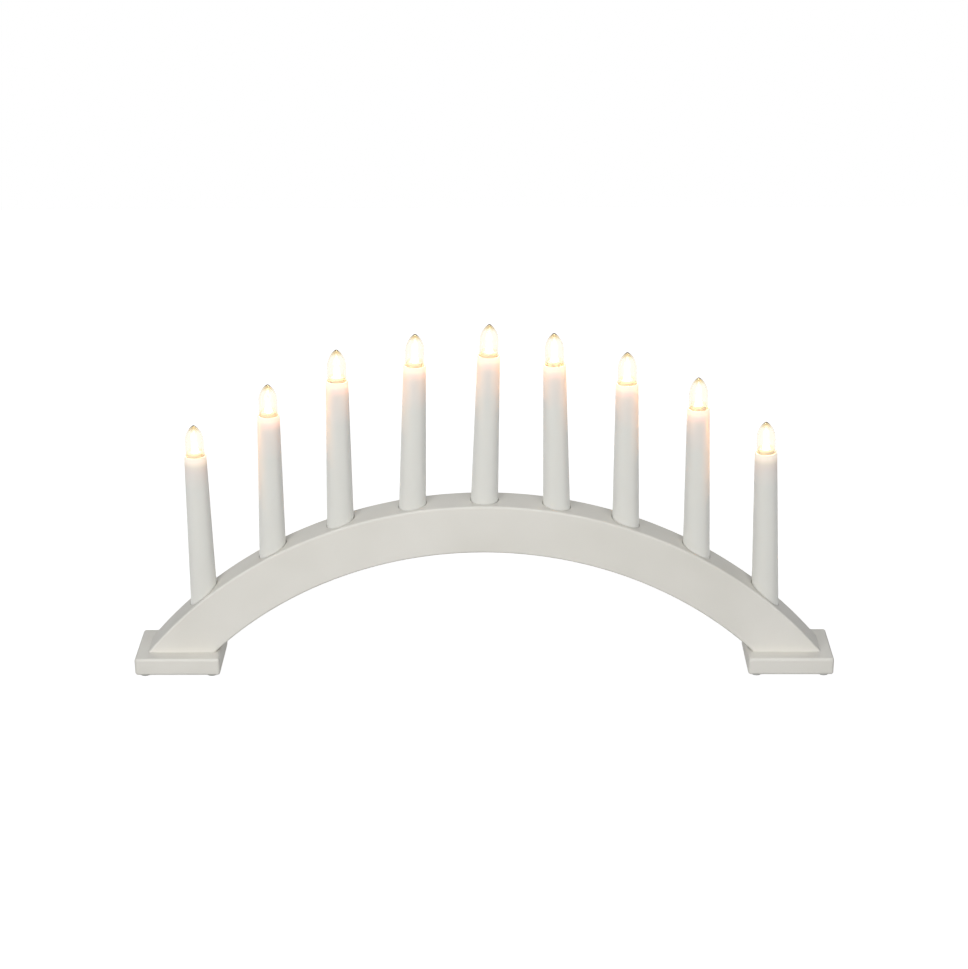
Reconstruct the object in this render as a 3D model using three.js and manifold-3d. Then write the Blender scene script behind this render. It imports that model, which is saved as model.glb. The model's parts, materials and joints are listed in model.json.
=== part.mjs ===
// Electric candle arch: a bow of painted board on two plinths. Nine tapered candle tubes stand in
// bores along the bow, and each carries a small bulb in a screw lampholder. Millimetres, +Z up, the
// front faces -Y, and the origin is on the table under the crown.

import * as THREE from 'three';
import { mergeVertices } from 'three/addons/utils/BufferGeometryUtils.js';
import Module from 'manifold-3d';

const wasm = await Module();
wasm.setup();

// Arch board: an arc of constant depth, cut level at the feet.
const ARCH_OUTER_RADIUS = 338;
const ARCH_DEPTH = 38.5;
const ARCH_THICKNESS = 29;
const ARCH_RISE = 123; // crown above the tops of the plinths
const ARCH_EDGE = 1; // broken edge along both faces

// Plinths: each reaches a little past the foot of the arch that stands on it.
const PLINTH_TOE = 9.1; // beyond the outer edge of the foot
const PLINTH_HEEL = 4.4; // beyond the inner edge of the foot
const PLINTH_DEPTH = 52;
const PLINTH_HEIGHT = 14.2;
const PLINTH_EDGE = 1.2;

// Pads under the corners of the plinths.
const PAD_DIAMETER = 8;
const PAD_HEIGHT = 2.2;
const PAD_DRAFT = 0.6; // how much the rounded foot is smaller in radius than the top
const PAD_INSET = 7; // from the plinth's edges to the pad's centre

// Candles, from left to right. Each stands a little out of plumb, as loose tubes do, and the bores
// that they stand in differ a little in place and in depth.
const CANDLE_LEANS_DEG = [-0.1, 0.8, 0.5, 1.8, 1.8, -1.2, -0.6, -1.1, -2.2];
const BORE_OFFSETS = [0.3, 0.7, -0.7, 0, 0.6, 1.8, 0.2, 0.6, 0.8]; // along X, from even spacing
const SEAT_DEPTHS = [14.1, 18.7, 14.7, 16.3, 13.2, 15.6, 17.4, 13.3, 11.2]; // below the deck, on the axis
const END_CANDLE_INSET = 44; // from the outer edge of the foot to the end candle's axis
const TUBE_LENGTH = 128.9;
const TUBE_WALL = 1.1; // at the rim
const TUBE_TAPER = 4.2; // foot diameter less rim diameter
const TUBE_RIM_EDGE = 0.4;
const LEDGE_HEIGHT = 2; // inner ring that carries the lampholder
const LEDGE_REACH = 1.6;

// Bulb: a clear pointed lens over a small screw cap with a light emitter on top.
const LENS_DIAMETER = 14;
const LENS_WALL = 1;
const LENS_SHOWN = 24.2; // tip above the rim of the tube
const LENS_POINT = 13; // length of the pointed part
const LENS_FULLNESS = 0.85; // 1 gives a sharp point, less a blunter one
const LENS_TIP = 1.4; // solid end of the point
const LENS_SKIRT = 2; // stretch of the lens inside the tube
const CAP_FLANGE = 1.2;
const CAP_PLUG = 4.5; // spigot of the cap inside the lens
const CAP_NECK = 1;
const THREAD_DIAMETER = 9.5;
const THREAD_PITCH = 1.814;
const THREAD_TURNS = 5;
const THREAD_DEPTH = 0.5;
const INSULATOR_HEIGHT = 1.4;
const CONTACT_DIAMETER = 4;
const CONTACT_HEIGHT = 0.8;
const EMITTER_DIAMETER = 5;
const EMITTER_HEIGHT = 2.6;
const EMITTER_DOME = 1.2;

// Lampholder: a sleeve with a closed floor and a contact button.
const HOLDER_FLOOR = 2;
const BUTTON_DIAMETER = 4;
const BUTTON_HEIGHT = 1.2;

// Wire groove in the underside of the arch, its cover strip and the wires in it.
const GROOVE_WIDTH = 9;
const GROOVE_DEPTH = 12; // above the cover strip
const GROOVE_END = 4; // past the wire hole of the end candle
const COVER_WIDTH = 19;
const COVER_THICKNESS = 2;
const COVER_LAP = 2; // past the ends of the groove
const WIRE_BUNDLE_DIAMETER = 4;
const WIRE_PAIR_DIAMETER = 2.4;
const WIRE_HOLE_DIAMETER = 6;
const WIRE_OVERLAP = 1; // how far a wire pair runs into the bundle

// Cable grommet in the back face, near the right foot.
const GROMMET_BORE = 4.8;
const GROMMET_WALL = 1.3;
const GROMMET_FLANGE_DIAMETER = 12;
const GROMMET_FLANGE = 1.6;
const GROMMET_FROM_END = 25; // along the groove, from the end candle's wire hole

// Wood screws: two through each plinth into the foot, five through the cover strip.
const PLINTH_SCREW = { shank: 3.8, head: 8, cone: 2.4, rim: 0.6, point: 4, recess: 1 };
const PLINTH_SCREW_BITE = 13; // length in the foot of the arch
const PLINTH_SCREW_SPACING = 20;
const PLINTH_SCREW_SHIFT = 3.5; // from the middle of the foot towards the crown
const COVER_SCREW = { shank: 2.2, head: 4.2, cone: 1, rim: 0.3, point: 2, recess: 0.2 };
const COVER_SCREW_BITE = 7; // length in the arch board
const COVER_SCREW_COUNT = 5;
const COVER_SCREW_INSET = 2.6; // from the edge of the strip to the screw's axis
const COVER_SCREW_END = 28; // along the strip, from its end to the first screw
const DRIVE_DEPTH = 0.35; // cross recess, as a share of the head's height
const DRIVE_LENGTH = 0.55; // cross recess, as a share of the head's diameter
const DRIVE_WIDTH = 0.14;

// Clearances
const FIT_GAP = 0.3; // between a piece and what it sits in
const GLUE_LINE = 0.1; // between glued flat faces
const CUT_MARGIN = 5; // how far a cutter runs past the face that it opens

// Facets
const ARC_SEGMENTS = 40;
const CANDLE_SIDES = 16;
const CAP_SIDES = 8;
const PAD_SIDES = 12;
const GROMMET_SIDES = 12;
const POINT_STEPS = 5;
const SCREW_SIDES = 10;
const WIRE_SIDES = 6;
const BUNDLE_STEPS = 18;
const WIRE_PAIR_STEPS = 14;
const ARC_DIVISION = 2; // an arc in a shape is divided this many times as finely as asked
const WELD = 1e-4;

// Derived places
const archInnerRadius = ARCH_OUTER_RADIUS - ARCH_DEPTH;
const plinthTop = PAD_HEIGHT + PLINTH_HEIGHT;
const archCentreZ = plinthTop + ARCH_RISE - ARCH_OUTER_RADIUS;
const footZ = plinthTop + GLUE_LINE;
const footDrop = footZ - archCentreZ;
const footOuterX = Math.sqrt(ARCH_OUTER_RADIUS ** 2 - footDrop ** 2);
const footInnerX = Math.sqrt(archInnerRadius ** 2 - footDrop ** 2);
const plinthOuterX = footOuterX + PLINTH_TOE;
const plinthInnerX = footInnerX - PLINTH_HEEL;

const candleCount = CANDLE_LEANS_DEG.length;
const endCandleX = footOuterX - END_CANDLE_INSET;
const candlePitch = (2 * endCandleX) / (candleCount - 1);

const lensRadius = LENS_DIAMETER / 2;
const lensInnerRadius = lensRadius - LENS_WALL;
const tubeBore = lensRadius + FIT_GAP;
const rimRadius = tubeBore + TUBE_WALL;
const tubeFootRadius = rimRadius + TUBE_TAPER / 2;

// Heights on a candle's own axis, from the floor of its bore.
const tubeFootZ = FIT_GAP;
const rimZ = tubeFootZ + TUBE_LENGTH;
const tipZ = rimZ + LENS_SHOWN;
const lensFootZ = rimZ - LENS_SKIRT;
const flangeTopZ = lensFootZ - FIT_GAP;
const flangeFootZ = flangeTopZ - CAP_FLANGE;
const threadTopZ = flangeFootZ - CAP_NECK;
const threadFootZ = threadTopZ - THREAD_TURNS * THREAD_PITCH;
const insulatorFootZ = threadFootZ - INSULATOR_HEIGHT;
const contactFootZ = insulatorFootZ - CONTACT_HEIGHT;
const holderTopZ = flangeFootZ - FIT_GAP;
const buttonTopZ = contactFootZ - FIT_GAP;
const holderFloorZ = buttonTopZ - BUTTON_HEIGHT;
const holderFootZ = holderFloorZ - HOLDER_FLOOR;
const ledgeTopZ = holderFootZ - FIT_GAP;
const wireTopZ = holderFootZ - FIT_GAP;

// Wire groove, measured by radius and by angle from the crown.
const coverOuterRadius = archInnerRadius + COVER_THICKNESS;
const grooveRoofRadius = coverOuterRadius + GROOVE_DEPTH;
const wireRadius = coverOuterRadius + GROOVE_DEPTH / 2;
const frames = candleFrames();
const endWireAngle = Math.max(...frames.map((frame) => Math.abs(wireAngle(frame))));
const grooveAngle = endWireAngle + GROOVE_END / archInnerRadius;
const coverAngle = grooveAngle + COVER_LAP / archInnerRadius;
const grommetAngle = endWireAngle - GROMMET_FROM_END / wireRadius;

// Finishes
const FINISHES = {
  paint: { color: 0xe6e3dc, roughness: 0.55, metalness: 0 },
  candle: { color: 0xf1efe9, roughness: 0.45, metalness: 0 },
  lens: { color: 0xffe9bd, roughness: 0.1, metalness: 0, transparent: true, opacity: 0.5 },
  cap: { color: 0xc9b27a, roughness: 0.3, metalness: 1 },
  holder: { color: 0xe8e4da, roughness: 0.5, metalness: 0 },
  pad: { color: 0xd2d2cf, roughness: 0.7, metalness: 0 },
  screw: { color: 0xb9bbbd, roughness: 0.35, metalness: 1 },
  wire: { color: 0xf0eee8, roughness: 0.6, metalness: 0 },
  grommet: { color: 0xeceae4, roughness: 0.6, metalness: 0 },
};

// Height of the deck of the arch above the table, at a distance from the crown.
function deckHeight(x) {
  return archCentreZ + Math.sqrt(ARCH_OUTER_RADIUS ** 2 - x ** 2);
}

// Leaves only positions, joins equal corners and drops the triangles that collapse at a pole.
function weld(geometry) {
  const bare = geometry.clone();
  bare.deleteAttribute('normal');
  bare.deleteAttribute('uv');
  const joined = mergeVertices(bare, WELD);
  const corners = joined.index.array;
  const kept = [];
  for (let i = 0; i < corners.length; i += 3) {
    const [a, b, c] = corners.slice(i, i + 3);
    if (a !== b && b !== c && c !== a) {
      kept.push(a, b, c);
    }
  }
  joined.setIndex(kept);
  joined.clearGroups();
  return joined;
}

// A closed geometry as a solid that can be joined and cut.
function solidOf(geometry) {
  const welded = weld(geometry);
  const mesh = new wasm.Mesh({
    numProp: 3,
    vertProperties: new Float32Array(welded.getAttribute('position').array),
    triVerts: new Uint32Array(welded.index.array),
  });
  return new wasm.Manifold(mesh);
}

// A solid as a geometry again.
function geometryOf(solid) {
  const mesh = solid.getMesh();
  const geometry = new THREE.BufferGeometry();
  geometry.setAttribute('position', new THREE.BufferAttribute(mesh.vertProperties, 3));
  geometry.setIndex(new THREE.BufferAttribute(mesh.triVerts, 1));
  return geometry;
}

// Cuts every tool out of a geometry.
function cut(geometry, tools) {
  let solid = solidOf(geometry);
  for (const tool of tools) {
    solid = solid.subtract(solidOf(tool));
  }
  return geometryOf(solid);
}

// Joins geometries that overlap into one.
function join(geometries) {
  let solid = solidOf(geometries[0]);
  for (const geometry of geometries.slice(1)) {
    solid = solid.add(solidOf(geometry));
  }
  return geometryOf(solid);
}

// Turns a profile of [radius, height] pairs about +Z. The profile runs up the outside.
function turned(profile, sides) {
  const points = profile.map(([radius, height]) => new THREE.Vector2(radius, height));
  return new THREE.LatheGeometry(points, sides).rotateX(Math.PI / 2);
}

// A plain pin about +Z between two heights.
function pin(radius, low, high, sides) {
  return turned([[0, low], [radius, low], [radius, high], [0, high]], sides);
}

// A piece of ring about the arch's centre, seen from the front, spread evenly either side of Y = 0.
function ringSector(inner, outer, angle, width, edge) {
  const outline = new THREE.Shape();
  outline.absarc(0, 0, outer, Math.PI / 2 - angle, Math.PI / 2 + angle, false);
  outline.absarc(0, 0, inner, Math.PI / 2 + angle, Math.PI / 2 - angle, true);
  outline.closePath();
  const geometry = new THREE.ExtrudeGeometry(outline, {
    depth: width - 2 * edge,
    curveSegments: ARC_SEGMENTS / ARC_DIVISION,
    bevelEnabled: edge > 0,
    bevelThickness: edge,
    bevelSize: edge,
    bevelOffset: -edge,
    bevelSegments: 1,
  });
  return geometry.translate(0, 0, edge - width / 2).rotateX(Math.PI / 2).translate(0, 0, archCentreZ);
}

// Carries a geometry that stands on +Z to a radius and angle of the arch, pointing outwards.
function toArch(geometry, radius, angle, y) {
  const x = radius * Math.sin(angle);
  const z = archCentreZ + radius * Math.cos(angle);
  return geometry.rotateY(angle).translate(x, y, z);
}

// A round wire along a smooth route through points.
function wire(points, diameter, steps) {
  const section = new THREE.Shape();
  section.absarc(0, 0, diameter / 2, 0, 2 * Math.PI, false);
  return new THREE.ExtrudeGeometry(section, {
    steps,
    curveSegments: WIRE_SIDES / ARC_DIVISION,
    bevelEnabled: false,
    extrudePath: new THREE.CatmullRomCurve3(points),
  });
}

// Half outline of a countersunk screw, from its head up to its point, with a gap all round it.
function screwProfile(screw, length, gap) {
  const head = screw.head / 2 + gap;
  const shank = screw.shank / 2 + gap;
  const low = gap > 0 ? -screw.recess - CUT_MARGIN : 0;
  const coneTop = screw.rim + screw.cone;
  return [
    [0, low],
    [head, low],
    [head, screw.rim],
    [shank, coneTop],
    [shank, length - screw.point],
    [gap, length + gap],
    [0, length + gap],
  ];
}

// A countersunk screw that points along +Z from the outside of its head, with a cross recess.
function screwGeometry(screw, length) {
  const depth = DRIVE_DEPTH * (screw.rim + screw.cone);
  const reach = DRIVE_LENGTH * screw.head;
  const slot = DRIVE_WIDTH * screw.head;
  const profile = screwProfile(screw, length, 0).slice(0, -1);
  const body = turned(profile, SCREW_SIDES);
  return cut(body, [
    new THREE.BoxGeometry(reach, slot, 2 * depth),
    new THREE.BoxGeometry(slot, reach, 2 * depth),
  ]);
}

// The room that a screw needs, open past the face that its head is sunk in.
function screwRoom(screw, length) {
  return turned(screwProfile(screw, length, FIT_GAP), SCREW_SIDES);
}

// Places of the candles: a group for each, on the floor of its bore and turned to its lean.
function candleFrames() {
  return CANDLE_LEANS_DEG.map((lean, i) => {
    const x = -endCandleX + i * candlePitch + BORE_OFFSETS[i];
    const frame = new THREE.Group();
    frame.position.set(x, 0, deckHeight(x) - SEAT_DEPTHS[i]);
    frame.rotation.y = THREE.MathUtils.degToRad(lean);
    frame.updateMatrix();
    return frame;
  });
}

// Places of the plinth screws along X, on the right side.
function plinthScrewPlaces() {
  const middle = (footInnerX + footOuterX) / 2 - PLINTH_SCREW_SHIFT;
  return [middle - PLINTH_SCREW_SPACING / 2, middle + PLINTH_SCREW_SPACING / 2];
}

// Places of the cover screws: an angle along the strip, and alternate sides of the groove.
function coverScrewPlaces() {
  const end = coverAngle - COVER_SCREW_END / archInnerRadius;
  const side = COVER_WIDTH / 2 - COVER_SCREW_INSET;
  const places = [];
  for (let i = 0; i < COVER_SCREW_COUNT; i += 1) {
    const angle = -end + (2 * end * i) / (COVER_SCREW_COUNT - 1);
    places.push({ angle, y: i % 2 === 0 ? -side : side });
  }
  return places;
}

const plinthScrewLength = PLINTH_HEIGHT - PLINTH_SCREW.recess + GLUE_LINE + PLINTH_SCREW_BITE;
const plinthScrewZ = PAD_HEIGHT + PLINTH_SCREW.recess;
const coverScrewLength = COVER_THICKNESS - COVER_SCREW.recess + FIT_GAP + COVER_SCREW_BITE;
const coverScrewRadius = archInnerRadius + COVER_SCREW.recess;
const grommetHoleRadius = GROMMET_BORE / 2 + GROMMET_WALL + FIT_GAP;

// Direction of a candle's wires: from the groove straight out to the middle of the bore's floor.
function wireAngle(frame) {
  return Math.atan2(frame.position.x, frame.position.z - archCentreZ);
}

// Distance from the arch's centre to the middle of a bore's floor.
function boreFloorRadius(frame) {
  return Math.hypot(frame.position.x, frame.position.z - archCentreZ);
}

// The arch board with its candle bores, wire groove, rabbet, wire holes and screw holes.
function archGeometry(frames) {
  const beyondFeet = Math.acos(footDrop / ARCH_OUTER_RADIUS) + CUT_MARGIN / archInnerRadius;
  const board = ringSector(archInnerRadius, ARCH_OUTER_RADIUS, beyondFeet, ARCH_THICKNESS, ARCH_EDGE);
  const tools = [belowFeet(footZ)];
  const boreRadius = tubeFootRadius + FIT_GAP;
  for (const frame of frames) {
    const bore = pin(boreRadius, 0, rimZ, CANDLE_SIDES);
    tools.push(bore.applyMatrix4(frame.matrix));
    const reach = boreFloorRadius(frame) - wireRadius + CUT_MARGIN;
    const hole = pin(WIRE_HOLE_DIAMETER / 2, 0, reach, WIRE_SIDES);
    tools.push(toArch(hole, wireRadius, wireAngle(frame), 0));
  }
  const under = archInnerRadius - CUT_MARGIN;
  const rabbetAngle = coverAngle + FIT_GAP / archInnerRadius;
  tools.push(ringSector(under, grooveRoofRadius, grooveAngle, GROOVE_WIDTH, 0));
  tools.push(ringSector(under, coverOuterRadius + FIT_GAP, rabbetAngle, COVER_WIDTH + 2 * FIT_GAP, 0));
  for (const place of coverScrewPlaces()) {
    const room = screwRoom(COVER_SCREW, coverScrewLength);
    tools.push(toArch(room, coverScrewRadius, place.angle, place.y));
  }
  for (const x of plinthScrewPlaces()) {
    for (const side of [-1, 1]) {
      const room = screwRoom(PLINTH_SCREW, plinthScrewLength);
      tools.push(room.translate(side * x, 0, plinthScrewZ));
    }
  }
  const cableHole = pin(grommetHoleRadius, 0, ARCH_THICKNESS / 2 + CUT_MARGIN, GROMMET_SIDES);
  tools.push(toArch(cableHole.rotateX(-Math.PI / 2), wireRadius, grommetAngle, 0));
  return cut(board, tools);
}

// Everything below a level, wide enough to trim the arch and its cover strip.
function belowFeet(level) {
  const width = 2 * (ARCH_OUTER_RADIUS + CUT_MARGIN);
  const depth = ARCH_THICKNESS + 2 * CUT_MARGIN;
  const box = new THREE.BoxGeometry(width, depth, ARCH_OUTER_RADIUS);
  return box.translate(0, 0, level - ARCH_OUTER_RADIUS / 2);
}

// The strip that closes the wire groove, flush with the underside of the arch.
function coverGeometry() {
  const strip = ringSector(archInnerRadius, coverOuterRadius, coverAngle, COVER_WIDTH, 0);
  const tools = [belowFeet(footZ + FIT_GAP)];
  for (const place of coverScrewPlaces()) {
    const room = screwRoom(COVER_SCREW, coverScrewLength);
    tools.push(toArch(room, coverScrewRadius, place.angle, place.y));
  }
  return cut(strip, tools);
}

// A plinth on the left (-1) or right (1), with rounded edges and holes for its screws.
function plinthGeometry(side) {
  const length = plinthOuterX - plinthInnerX;
  const outline = new THREE.Shape();
  outline.moveTo(-length / 2, -PLINTH_DEPTH / 2);
  outline.lineTo(length / 2, -PLINTH_DEPTH / 2);
  outline.lineTo(length / 2, PLINTH_DEPTH / 2);
  outline.lineTo(-length / 2, PLINTH_DEPTH / 2);
  outline.closePath();
  const block = new THREE.ExtrudeGeometry(outline, {
    depth: PLINTH_HEIGHT - 2 * PLINTH_EDGE,
    bevelThickness: PLINTH_EDGE,
    bevelSize: PLINTH_EDGE,
    bevelOffset: -PLINTH_EDGE,
    bevelSegments: 2,
  });
  const middle = (side * (plinthInnerX + plinthOuterX)) / 2;
  block.translate(middle, 0, PAD_HEIGHT + PLINTH_EDGE);
  const tools = plinthScrewPlaces().map((x) => {
    const room = screwRoom(PLINTH_SCREW, plinthScrewLength);
    return room.translate(side * x, 0, plinthScrewZ);
  });
  return cut(block, tools);
}

// A round pad, a little narrower where it stands on the table.
function padGeometry() {
  const top = PAD_DIAMETER / 2;
  const foot = top - PAD_DRAFT;
  const profile = [[0, 0], [foot, 0], [top, PAD_DRAFT], [top, PAD_HEIGHT], [0, PAD_HEIGHT]];
  return weld(turned(profile, PAD_SIDES));
}

// A tapered candle tube, open at both ends, with a ledge inside for the lampholder.
function tubeGeometry() {
  const ledge = tubeBore - LEDGE_REACH;
  return weld(turned([
    [tubeBore, tubeFootZ],
    [tubeFootRadius, tubeFootZ],
    [rimRadius, rimZ - TUBE_RIM_EDGE],
    [rimRadius - TUBE_RIM_EDGE, rimZ],
    [tubeBore, rimZ],
    [tubeBore, ledgeTopZ],
    [ledge, ledgeTopZ],
    [ledge, ledgeTopZ - LEDGE_HEIGHT],
    [tubeBore, ledgeTopZ - LEDGE_HEIGHT],
    [tubeBore, tubeFootZ],
  ], CANDLE_SIDES));
}

// A lampholder: a sleeve that the cap screws into, with a contact button on its floor.
function holderGeometry() {
  const outside = tubeBore - FIT_GAP;
  const bore = THREAD_DIAMETER / 2 + FIT_GAP;
  const button = BUTTON_DIAMETER / 2;
  return weld(turned([
    [0, holderFootZ],
    [outside, holderFootZ],
    [outside, holderTopZ],
    [bore, holderTopZ],
    [bore, holderFloorZ],
    [button, holderFloorZ],
    [button, buttonTopZ],
    [0, buttonTopZ],
  ], CAP_SIDES));
}

// A bulb's screw cap: contact, insulator, thread, flange, spigot and light emitter in one turning.
function capGeometry() {
  const crest = THREAD_DIAMETER / 2;
  const root = crest - THREAD_DEPTH;
  const contact = CONTACT_DIAMETER / 2;
  const plug = lensInnerRadius - FIT_GAP;
  const emitter = EMITTER_DIAMETER / 2;
  const plugTopZ = flangeTopZ + CAP_PLUG;
  const emitterTopZ = plugTopZ + EMITTER_HEIGHT;
  const profile = [[0, contactFootZ], [contact, contactFootZ], [contact, insulatorFootZ]];
  for (let turn = 0; turn < THREAD_TURNS; turn += 1) {
    const low = threadFootZ + turn * THREAD_PITCH;
    profile.push([root, low], [crest, low + THREAD_PITCH / 2]);
  }
  profile.push(
    [root, threadTopZ],
    [root, flangeFootZ],
    [lensRadius, flangeFootZ],
    [lensRadius, flangeTopZ],
    [plug, flangeTopZ],
    [plug, plugTopZ],
    [emitter, plugTopZ],
    [emitter, emitterTopZ],
    [0, emitterTopZ + EMITTER_DOME],
  );
  return weld(turned(profile, CAP_SIDES));
}

// Half outline of a pointed dome, from its straight foot up to its tip.
function pointedDome(radius, lowZ, topZ) {
  const points = [];
  for (let i = 0; i <= POINT_STEPS; i += 1) {
    const share = i / POINT_STEPS;
    points.push([radius * (1 - share ** 2) ** LENS_FULLNESS, lowZ + share * (topZ - lowZ)]);
  }
  return points;
}

// A bulb's clear lens: a thin pointed shell, open below.
function lensGeometry() {
  const pointFootZ = tipZ - LENS_POINT;
  const outside = pointedDome(lensRadius, pointFootZ, tipZ);
  const inside = pointedDome(lensInnerRadius, pointFootZ, tipZ - LENS_TIP).reverse();
  return weld(turned([
    ...inside,
    [lensInnerRadius, lensFootZ],
    [lensRadius, lensFootZ],
    ...outside,
  ], CANDLE_SIDES));
}

// All the wiring as one piece: a bundle along the groove and a pair of wires up every candle.
function harnessGeometry(frames) {
  const bundlePoints = frames.map((frame) => onArch(wireRadius, wireAngle(frame)));
  const pieces = [wire(bundlePoints, WIRE_BUNDLE_DIAMETER, BUNDLE_STEPS)];
  for (const frame of frames) {
    const floorRadius = boreFloorRadius(frame);
    const start = onArch(wireRadius - WIRE_OVERLAP, wireAngle(frame));
    const throat = onArch(floorRadius - WIRE_HOLE_DIAMETER / 2, wireAngle(frame));
    const bend = new THREE.Vector3(0, 0, WIRE_HOLE_DIAMETER).applyMatrix4(frame.matrix);
    const end = new THREE.Vector3(0, 0, wireTopZ).applyMatrix4(frame.matrix);
    const middle = bend.clone().lerp(end, 0.5);
    pieces.push(wire([start, throat, bend, middle, end], WIRE_PAIR_DIAMETER, WIRE_PAIR_STEPS));
  }
  return join(pieces);
}

// A point at a radius and angle of the arch, in the middle of its thickness.
function onArch(radius, angle) {
  return new THREE.Vector3(radius * Math.sin(angle), 0, archCentreZ + radius * Math.cos(angle));
}

// The cable grommet: a flanged bush from the groove out through the back face.
function grommetGeometry() {
  const bore = GROMMET_BORE / 2;
  const outside = bore + GROMMET_WALL;
  const flange = GROMMET_FLANGE_DIAMETER / 2;
  const innerEnd = GROOVE_WIDTH / 2 + FIT_GAP;
  const face = ARCH_THICKNESS / 2 + FIT_GAP;
  const profile = [
    [bore, innerEnd],
    [outside, innerEnd],
    [outside, face],
    [flange, face],
    [flange, face + GROMMET_FLANGE],
    [bore, face + GROMMET_FLANGE],
    [bore, innerEnd],
  ];
  const bush = turned(profile, GROMMET_SIDES).rotateX(-Math.PI / 2);
  return weld(toArch(bush, wireRadius, grommetAngle, 0));
}

// Adds a named piece with a finish of its own to a group.
function add(group, name, finish, geometry) {
  const mesh = new THREE.Mesh(geometry, new THREE.MeshStandardMaterial(FINISHES[finish]));
  mesh.name = name;
  geometry.computeVertexNormals();
  group.add(mesh);
  return mesh;
}

const candleArch = new THREE.Group();
add(candleArch, 'arch', 'paint', archGeometry(frames));
add(candleArch, 'wire_cover', 'paint', coverGeometry());
add(candleArch, 'wire_harness', 'wire', harnessGeometry(frames));
add(candleArch, 'cable_grommet', 'grommet', grommetGeometry());
coverScrewPlaces().forEach((place, i) => {
  const screw = screwGeometry(COVER_SCREW, coverScrewLength);
  add(candleArch, `cover_screw_${i + 1}`, 'screw', toArch(screw, coverScrewRadius, place.angle, place.y));
});

for (const [name, side] of [['left', -1], ['right', 1]]) {
  add(candleArch, `plinth_${name}`, 'paint', plinthGeometry(side));
  plinthScrewPlaces().forEach((x, i) => {
    const screw = screwGeometry(PLINTH_SCREW, plinthScrewLength).translate(side * x, 0, plinthScrewZ);
    add(candleArch, `plinth_screw_${name}_${i + 1}`, 'screw', screw);
  });
  let number = 0;
  for (const x of [plinthInnerX + PAD_INSET, plinthOuterX - PAD_INSET]) {
    for (const y of [PAD_INSET - PLINTH_DEPTH / 2, PLINTH_DEPTH / 2 - PAD_INSET]) {
      number += 1;
      const pad = add(candleArch, `pad_${name}_${number}`, 'pad', padGeometry());
      pad.position.set(side * x, y, 0);
    }
  }
}

frames.forEach((frame, i) => {
  add(frame, `candle_tube_${i + 1}`, 'candle', tubeGeometry());
  add(frame, `lampholder_${i + 1}`, 'holder', holderGeometry());
  add(frame, `bulb_cap_${i + 1}`, 'cap', capGeometry());
  add(frame, `bulb_lens_${i + 1}`, 'lens', lensGeometry());
  candleArch.add(frame);
});

export default candleArch;
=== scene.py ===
import json
import logging
import math
from abc import ABC, abstractmethod
from dataclasses import dataclass, replace
from enum import Enum
from typing import Any, Iterable, Sequence

import bmesh
import bpy
from bpy.types import ID, Material, Mesh, Node, NodeSocket, NodeTree, Object
from mathutils import Matrix, Vector


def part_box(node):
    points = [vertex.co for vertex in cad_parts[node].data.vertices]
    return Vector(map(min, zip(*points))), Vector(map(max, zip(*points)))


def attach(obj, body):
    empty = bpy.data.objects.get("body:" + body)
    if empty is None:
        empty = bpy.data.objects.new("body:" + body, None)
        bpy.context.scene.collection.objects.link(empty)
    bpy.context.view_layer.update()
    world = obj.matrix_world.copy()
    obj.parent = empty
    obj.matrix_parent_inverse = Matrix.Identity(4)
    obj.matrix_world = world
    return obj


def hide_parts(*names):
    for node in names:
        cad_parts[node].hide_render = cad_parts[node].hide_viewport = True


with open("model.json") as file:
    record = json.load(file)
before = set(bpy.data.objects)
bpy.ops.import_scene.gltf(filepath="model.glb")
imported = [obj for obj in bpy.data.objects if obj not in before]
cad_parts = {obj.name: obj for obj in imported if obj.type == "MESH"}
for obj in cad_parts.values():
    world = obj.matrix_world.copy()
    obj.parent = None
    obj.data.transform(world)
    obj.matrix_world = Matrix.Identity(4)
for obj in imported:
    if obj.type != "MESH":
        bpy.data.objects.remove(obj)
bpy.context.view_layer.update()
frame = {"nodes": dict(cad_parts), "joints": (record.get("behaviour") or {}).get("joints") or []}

# An electric candle arch: a painted bow on two plinths, with nine candle tubes and lit bulbs.
# Sizes are in millimetres unless a name says otherwise. Blender and the frame are in metres.
MM = 0.001
# Corners that a cut leaves closer together than this become one corner.
WELD = 0.04
# Folds sharper than this many degrees stay crisp. Threads and wires have steeper facets.
CREASE_DEG = 35.0
ROUND_CREASE_DEG = 50.0
# Steps in a rounded edge.
EDGE_STEPS = 5
# From the middle of a pair of wires to the axis of each, in wire radii.
WIRE_SPREAD = 1.1
# Most values of a noise pattern lie between these two.
NOISE_LOW = 0.3
NOISE_HIGH = 0.7
IMAGE_WIDTH = 968
IMAGE_HEIGHT = 969
STAND = "stand"
LOG = logging.getLogger("candle_arch")

Point = tuple[float, float]
Profile = Sequence[tuple[float, ...]]
Stops = Sequence[tuple[float, str]]
Inputs = Sequence[tuple[str, Any]]


# Shader helpers


def linear(hex_colour: str) -> tuple[float, float, float, float]:
    """Turns an sRGB hex colour into the linear colour that a shader takes.

    Args:
        hex_colour: six hex digits, such as "E6E2DA".

    Returns:
        Red, green, blue and an alpha of 1.
    """
    parts = [int(hex_colour[i : i + 2], 16) / 255 for i in (0, 2, 4)]
    curve = [c / 12.92 if c <= 0.04045 else ((c + 0.055) / 1.055) ** 2.4 for c in parts]
    return (curve[0], curve[1], curve[2], 1.0)


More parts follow.
